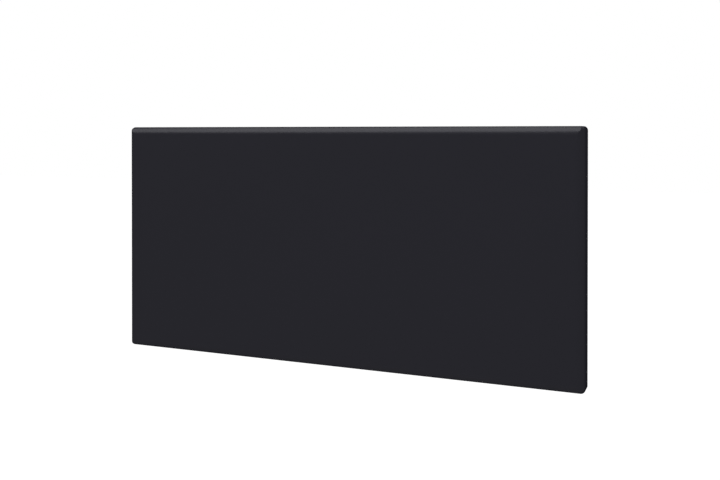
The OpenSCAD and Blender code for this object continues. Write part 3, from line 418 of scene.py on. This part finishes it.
def add_piece(name, data, body, slot, replaced=()):
    """Puts a finished mesh or curve in the scene, on its body and with its finish."""
    scene = bpy.context.scene
    piece = bpy.data.objects.new(name, data)
    scene.collection.objects.link(piece)
    data.materials.append(bpy.data.materials[scene["heater_finishes"][slot]])
    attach(piece, body)
    if replaced:
        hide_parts(*replaced)
    return piece


def mesh_of(name, shape):
    """Mesh of a finished bmesh, smooth on its curved faces."""
    bmesh.ops.remove_doubles(shape, verts=shape.verts, dist=MERGE_DISTANCE)
    bmesh.ops.recalc_face_normals(shape, faces=shape.faces)
    mesh = bpy.data.meshes.new(name)
    shape.to_mesh(mesh)
    shape.free()
    mesh.shade_smooth()
    mesh.set_sharp_from_angle(angle=CREASE_ANGLE)
    return mesh


class HEATER_OT_finishes(bpy.types.Operator):
    """Give every piece of the frame its finish"""
    bl_idname = "heater.finishes"
    bl_label = "Finishes"

    def execute(self, context):
        made = finishes(context.scene.heater_colours)
        context.scene["heater_finishes"] = {slot: finish.name for slot, finish in made.items()}
        for name, node in frame["nodes"].items():
            node.material_slots[0].material = made[slot_of(name)]
        return {"FINISHED"}


def lead_curve(name, corners, radius, bend):
    """Round tube along straight stretches, rounded from bend before each corner to bend after."""
    data = bpy.data.curves.new(name, "CURVE")
    data.dimensions = "3D"
    data.bevel_depth = radius
    data.bevel_resolution = 3
    data.resolution_u = 5
    data.use_fill_caps = True
    corners = [Vector(corner) for corner in corners]
    stops = [(corners[0], corners[0])]
    for before, corner, after in zip(corners, corners[1:], corners[2:]):
        stops.append((corner + bend * (before - corner).normalized(), corner))
        stops.append((corner + bend * (after - corner).normalized(), corner))
    stops.append((corners[-1], corners[-1]))
    spline = data.splines.new("BEZIER")
    spline.bezier_points.add(len(stops) - 1)
    for i, (point, (place, corner)) in enumerate(zip(spline.bezier_points, stops)):
        # Even stops have their straight stretch ahead of them, odd ones have it behind them
        straight_end = stops[i - 1][0] if i % 2 else stops[min(i + 1, len(stops) - 1)][0]
        straight = place.lerp(straight_end, 1 / 3)
        rounded = place.lerp(corner, 2 / 3)
        point.handle_left_type = point.handle_right_type = "FREE"
        point.co = place
        point.handle_left, point.handle_right = (straight, rounded) if i % 2 else (rounded, straight)
    return data


def lead_routes(trim):
    """Corners of each lead, in metres, from the places of the pieces that it joins."""
    terminals_low, terminals_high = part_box("element_terminals")
    housing_low, housing_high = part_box("control_housing")
    block_low, block_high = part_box("terminal_block")
    cutout_low, cutout_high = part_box("overheat_cutout")
    switch_low, switch_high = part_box("switch_body")
    board_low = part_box("circuit_board")[0]
    wall_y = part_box("element_lead_left")[1].y - trim.lead_radius
    mid_y = (housing_low.y + housing_high.y) / 2

    element_y = (terminals_low.y + terminals_high.y) / 2
    element_z = (terminals_low.z + terminals_high.z) / 2
    left_x = terminals_low.x - trim.lead_gap
    right_x = terminals_high.x + trim.lead_gap
    turn_x = left_x - trim.lead_out

    passage_x = housing_high.x - trim.passage_inset
    passage_left_x = passage_x - trim.lead_pitch
    passage_right_x = passage_x + trim.lead_pitch
    board_z = board_low.z - trim.lead_gap

    cutout_y = cutout_low.y + trim.tab_inset
    cutout_z = (cutout_low.z + cutout_high.z) / 2
    cutout_left_x = cutout_low.x - trim.lead_gap
    cutout_right_x = cutout_high.x + trim.lead_gap

    clamp_x = (block_low.x + block_high.x) / 2
    clamp_y = (block_low.y + block_high.y) / 2
    clamp_z = block_high.z + trim.lead_gap
    clamp_end = clamp_z + trim.lead_out
    pole_x = clamp_x + trim.pole_pitch

    switch_x = switch_low.x - trim.lead_gap
    switch_z = (switch_low.z + switch_high.z) / 2 - trim.tab_drop
    return {
        "element_lead_right": [
            (right_x, element_y, element_z),
            (passage_left_x, element_y, element_z),
            (passage_left_x, mid_y, element_z + trim.lead_rise),
            (passage_left_x, mid_y, board_z)],
        "element_lead_left": [
            (left_x, element_y, element_z),
            (turn_x, element_y, element_z),
            (turn_x, wall_y, element_z + trim.lead_in + trim.lead_slope),
            (turn_x, wall_y, cutout_z),
            (cutout_left_x - trim.lead_slope, wall_y, cutout_z),
            (cutout_left_x - trim.lead_tip, cutout_y, cutout_z),
            (cutout_left_x, cutout_y, cutout_z)],
        "cutout_lead": [
            (cutout_right_x, cutout_y, cutout_z),
            (passage_x, cutout_y, cutout_z),
            (passage_x, mid_y, cutout_z + trim.lead_slope),
            (passage_x, mid_y, board_z)],
        "control_lead": [
            (clamp_x, clamp_y, clamp_z),
            (clamp_x, clamp_y, clamp_end),
            (passage_right_x, wall_y, clamp_end + trim.lead_slope),
            (passage_right_x, wall_y, housing_low.z - trim.lead_in - trim.lead_slope),
            (passage_right_x, mid_y, housing_low.z - trim.lead_in),
            (passage_right_x, mid_y, board_z)],
        "switch_lead": [
            (pole_x, clamp_y, clamp_z),
            (pole_x, clamp_y, clamp_end),
            (switch_x - trim.lead_tip, mid_y, switch_z),
            (switch_x, mid_y, switch_z)],
    }


class HEATER_OT_leads(bpy.types.Operator):
    """Lay the insulated leads between the element, cut-out, switch, terminals and board"""
    bl_idname = "heater.leads"
    bl_label = "Leads"

    def execute(self, context):
        trim = context.scene.heater_trim
        for name, corners in lead_routes(trim).items():
            data = lead_curve(name, corners, trim.lead_radius, trim.lead_bend)
            add_piece(f"{name}_insulation", data, "heater", slot_of(name), [name])
        return {"FINISHED"}


class HEATER_OT_springs(bpy.types.Operator):
    """Wind the springs under the two latches"""
    bl_idname = "heater.springs"
    bl_label = "Latch springs"

    def execute(self, context):
        trim = context.scene.heater_trim
        for side in ("left", "right"):
            node = f"latch_spring_{side}"
            low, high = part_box(node)
            centre = (low + high) / 2
            coil = self.coil(trim, centre, low.z, high.z)
            piece = add_piece(f"latch_coil_{side}", coil, "wall_bracket", "bright_steel", [node])
            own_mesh(piece)
        return {"FINISHED"}

    def coil(self, trim, centre, bottom, top):
        """Round wire spun round the coil's axis while it climbs."""
        steps = COIL_STEPS * trim.coil_turns
        rise = top - bottom - 2 * trim.wire_radius
        start = Vector((centre.x + trim.coil_radius, centre.y, bottom + trim.wire_radius))
        place = Matrix.Translation(start) @ Matrix.Rotation(QUARTER_TURN, 4, "X")
        shape = bmesh.new()
        bmesh.ops.create_circle(
            shape, cap_ends=True, segments=8, radius=trim.wire_radius, matrix=place)
        bmesh.ops.spin(
            shape, geom=shape.verts[:] + shape.edges[:] + shape.faces[:],
            cent=(centre.x, centre.y, bottom), axis=(0, 0, 1), dvec=(0, 0, rise / steps),
            angle=2 * math.pi * trim.coil_turns, steps=steps, use_merge=False)
        return mesh_of("latch_coil", shape)


def bar(shape, width, length, thickness, place):
    """Flat printed bar, its underside at the height of the place."""
    scale = Matrix.Diagonal((width, length, thickness, 1))
    lifted = Matrix.Translation((0, 0, thickness / 2))
    bmesh.ops.create_cube(shape, size=1, matrix=place @ lifted @ scale)


def ring(shape, radius, stroke, thickness, opening, place):
    """Flat printed ring with an opening at its top, given as an angle."""
    start = Matrix.Rotation(QUARTER_TURN + opening / 2, 4, "Z")
    upright = Matrix.Translation((radius, 0, thickness / 2)) @ Matrix.Rotation(QUARTER_TURN, 4, "X")
    section = place @ start @ upright @ Matrix.Diagonal((stroke, thickness, 1, 1))
    made = bmesh.ops.create_grid(shape, x_segments=1, y_segments=1, size=0.5, matrix=section)
    verts = made["verts"]
    faces = list({face for vert in verts for face in vert.link_faces})
    edges = list({edge for vert in verts for edge in vert.link_edges})
    closed = opening == 0
    if closed:
        # A closed ring has no ends, so its section is only an outline
        bmesh.ops.delete(shape, geom=faces, context="FACES_ONLY")
        faces = []
    axis = place.to_3x3() @ Vector((0, 0, 1))
    bmesh.ops.spin(
        shape, geom=verts + edges + faces, cent=place.translation, axis=axis,
        angle=2 * math.pi - opening, steps=RING_STEPS, use_merge=closed)


class HEATER_OT_signs(bpy.types.Operator):
    """Print the signs on the buttons and on the mains rocker"""
    bl_idname = "heater.signs"
    bl_label = "Printed signs"

    def execute(self, context):
        trim = context.scene.heater_trim
        for name, draw in (("power", self.power), ("minus", self.minus), ("plus", self.plus)):
            node = f"button_{name}"
            low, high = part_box(node)
            place = Matrix.Translation(((low.x + high.x) / 2, (low.y + high.y) / 2, high.z))
            shape = bmesh.new()
            draw(shape, trim, place)
            add_piece(f"sign_{name}", mesh_of(f"sign_{name}", shape), node, "white_plastic")
        self.rocker_marks(trim)
        return {"FINISHED"}

    def power(self, shape, trim, place):
        """Open ring with a stroke in its opening."""
        radius = (trim.sign_size - trim.sign_stroke) / 2
        stroke_rise = 0.75 * radius
        ring(shape, radius, trim.sign_stroke, trim.print_thickness, trim.sign_opening, place)
        bar(shape, trim.sign_stroke, trim.sign_size / 2, trim.print_thickness,
            place @ Matrix.Translation((0, stroke_rise, 0)))

    def minus(self, shape, trim, place):
        """Single bar."""
        bar(shape, trim.sign_size, trim.sign_stroke, trim.print_thickness, place)

    def plus(self, shape, trim, place):
        """Cross: a grid of three by three without its corner squares."""
        made = bmesh.ops.create_grid(shape, x_segments=3, y_segments=3, size=1.5)
        # The squares are one wide until the rim and the inner lines get their places
        for vert in made["verts"]:
            for axis in (0, 1):
                size = trim.sign_size if abs(vert.co[axis]) > 1 else trim.sign_stroke
                vert.co[axis] = math.copysign(size / 2, vert.co[axis])
        arm = trim.sign_stroke / 2
        middles = {face: face.calc_center_median() for face in shape.faces}
        corners = [face for face, at in middles.items() if abs(at.x) > arm and abs(at.y) > arm]
        bmesh.ops.delete(shape, geom=corners, context="FACES")
        raised = bmesh.ops.extrude_face_region(shape, geom=shape.faces[:], use_keep_orig=True)
        top = [item for item in raised["geom"] if isinstance(item, bmesh.types.BMVert)]
        bmesh.ops.translate(shape, verts=top, vec=(0, 0, trim.print_thickness))
        bmesh.ops.transform(shape, matrix=place, verts=shape.verts)

    def rocker_marks(self, trim):
        """Stroke on the rocker's upper half and ring on its lower half."""
        joint = joint_named("mains_switch_rock")
        rest = math.radians(joint["range_deg"][1]) / 2
        face = Matrix.Translation(joint["pos_m"]) @ Matrix.Rotation(-rest, 4, "Y")
        face = face @ Matrix.Translation((trim.rocker_hollow, 0, 0))
        outwards = Matrix.Rotation(QUARTER_TURN, 4, "Y")
        upper, lower = (
            face @ Matrix.Rotation(side * trim.rocker_slope, 4, "Y")
            @ Matrix.Translation((0, 0, side * trim.mark_place)) @ outwards
            for side in (1, -1))
        radius = (trim.mark_size - trim.sign_stroke) / 2
        shape = bmesh.new()
        bar(shape, trim.mark_size, trim.sign_stroke, trim.print_thickness, upper)
        ring(shape, radius, trim.sign_stroke, trim.print_thickness, 0, lower)
        add_piece("rocker_marks", mesh_of("rocker_marks", shape), "switch_rocker",
                  "white_plastic")


class HEATER_OT_stage(bpy.types.Operator):
    """Set up the camera, the pale floor, the softboxes and the surroundings"""
    bl_idname = "heater.stage"
    bl_label = "Stage"

    def execute(self, context):
        studio = context.scene.heater_studio
        self.camera(context, studio)
        self.floor(context, studio)
        self.lamps(context, studio)
        self.surroundings(context, studio)
        context.scene.view_settings.view_transform = "Standard"
        return {"FINISHED"}

    def camera(self, context, studio):
        """Camera at the viewing angle of the photograph."""
        data = bpy.data.cameras.new("camera")
        data.lens = studio.lens
        data.sensor_width = 36
        data.shift_x, data.shift_y = studio.shift
        data.clip_start = 0.01
        data.clip_end = 100
        camera = bpy.data.objects.new("camera", data)
        camera.location = studio.camera_place
        camera.rotation_euler = (QUARTER_TURN + studio.camera_rise, 0, studio.camera_turn)
        context.scene.collection.objects.link(camera)
        context.scene.camera = camera

    def lamps(self, context, studio):
        """Four softboxes: two of them show only in reflections, and the front one in none."""
        top = CAD_BOX[1].z
        self.softbox(
            context, "top_softbox", studio.top_power,
            place=(0, -0.6, top + studio.lamp_height), turn=(0, 0, 0), size=(2.4, 2.4))
        above = self.softbox(
            context, "gloss_panel", studio.gloss_power,
            place=(-0.933, -0.477, top + studio.gloss_height), turn=(0, 0, 22), size=(2.95, 2.27))
        behind = self.softbox(
            context, "rear_gloss_panel", studio.rear_gloss_power,
            place=(0, 1.15, 1.35), turn=(-40, 0, 0), size=(3, 0.7))
        front = self.softbox(
            context, "front_softbox", studio.fill_power,
            place=(0.4, -2.6, 1.3), turn=(64, 0, 9), size=(2.0, 1.6))
        above.visible_diffuse = behind.visible_diffuse = False
        front.visible_glossy = False

    def softbox(self, context, name, power, place, turn, size):
        """Rectangular lamp, turned by degrees."""
        data = bpy.data.lights.new(name, "AREA")
        data.shape = "RECTANGLE"
        data.size, data.size_y = size
        data.energy = power
        lamp = bpy.data.objects.new(name, data)
        lamp.location = place
        lamp.rotation_euler = [math.radians(angle) for angle in turn]
        lamp.visible_camera = False
        context.scene.collection.objects.link(lamp)
        return lamp

    def show_or_light(self, tree, shown, lit, surface):
        """Shows one shader to the camera, gloss and glass, and lights the heater with another."""
        path = tree.nodes.new("ShaderNodeLightPath")
        total = path.outputs["Is Camera Ray"]
        for ray in ("Is Glossy Ray", "Is Transmission Ray"):
            larger = tree.nodes.new("ShaderNodeMath")
            larger.operation = "MAXIMUM"
            link(tree, total, larger.inputs[0])
            link(tree, path.outputs[ray], larger.inputs[1])
            total = larger.outputs[0]
        choice = tree.nodes.new("ShaderNodeMixShader")
        link(tree, total, choice.inputs["Fac"])
        link(tree, lit, choice.inputs[1])
        link(tree, shown, choice.inputs[2])
        link(tree, choice.outputs["Shader"], surface)

    def surroundings(self, context, studio):
        """White to look at, and a plain even level of light."""
        world = bpy.data.worlds.new("surroundings")
        world.use_nodes = True
        context.scene.world = world
        tree = world.node_tree
        light = tree.nodes["Background"]
        white = tree.nodes.new("ShaderNodeBackground")
        for background, strength in ((light, studio.world_level), (white, 1)):
            background.inputs["Color"].default_value = WHITE
            background.inputs["Strength"].default_value = strength
        self.show_or_light(tree, white.outputs["Background"], light.outputs["Background"],
                           tree.nodes["World Output"].inputs["Surface"])

    def floor(self, context, studio):
        """Large pale floor that keeps the heater's shadow."""
        shape = bmesh.new()
        place = Matrix.Translation((0, 0, CAD_BOX[0].z - studio.floor_drop))
        bmesh.ops.create_grid(
            shape, x_segments=1, y_segments=1, size=studio.floor_reach, matrix=place)
        floor = bpy.data.objects.new("floor", mesh_of("floor", shape))
        context.scene.collection.objects.link(floor)
        material, tree, shader = new_finish("pale_floor")
        shader.inputs["Base Color"].default_value = toned(studio.floor, 0)
        shader.inputs["Roughness"].default_value = 0.9
        shader.inputs["Specular IOR Level"].default_value = 0
        glow = tree.nodes.new("ShaderNodeEmission")
        glow.inputs["Strength"].default_value = studio.floor_glow
        both = tree.nodes.new("ShaderNodeAddShader")
        link(tree, shader.outputs["BSDF"], both.inputs[0])
        link(tree, glow.outputs["Emission"], both.inputs[1])
        self.show_or_light(tree, both.outputs["Shader"], shader.outputs["BSDF"],
                           tree.nodes["Material Output"].inputs["Surface"])
        floor.data.materials.append(material)


GROUPS = {
    "heater_colours": HeaterColours,
    "heater_trim": HeaterTrim,
    "heater_studio": HeaterStudio,
}
OPERATORS = (
    HEATER_OT_finishes, HEATER_OT_leads, HEATER_OT_springs, HEATER_OT_signs, HEATER_OT_stage)


class HEATER_PT_panel(bpy.types.Panel):
    """Steps that dress the heater"""
    bl_idname = "HEATER_PT_panel"
    bl_label = "Convector heater"
    bl_space_type = "VIEW_3D"
    bl_region_type = "UI"
    bl_category = "Heater"

    def draw(self, context):
        for name, group in GROUPS.items():
            for setting in group.__annotations__:
                self.layout.prop(getattr(context.scene, name), setting)
        for operator in OPERATORS:
            self.layout.operator(operator.bl_idname)


CLASSES = (*GROUPS.values(), *OPERATORS, HEATER_PT_panel)


def register():
    """Makes the settings, the steps and their panel known."""
    for item in CLASSES:
        bpy.utils.register_class(item)
    for name, group in GROUPS.items():
        setattr(bpy.types.Scene, name, bpy.props.PointerProperty(type=group))


def unregister():
    """Takes them out again."""
    for name in GROUPS:
        delattr(bpy.types.Scene, name)
    for item in reversed(CLASSES):
        bpy.utils.unregister_class(item)


def main():
    """Dresses the heater step by step."""
    register()
    bpy.ops.heater.finishes()
    bpy.ops.heater.leads()
    bpy.ops.heater.springs()
    bpy.ops.heater.signs()
    bpy.ops.heater.stage()


if __name__ == "__main__":
    main()
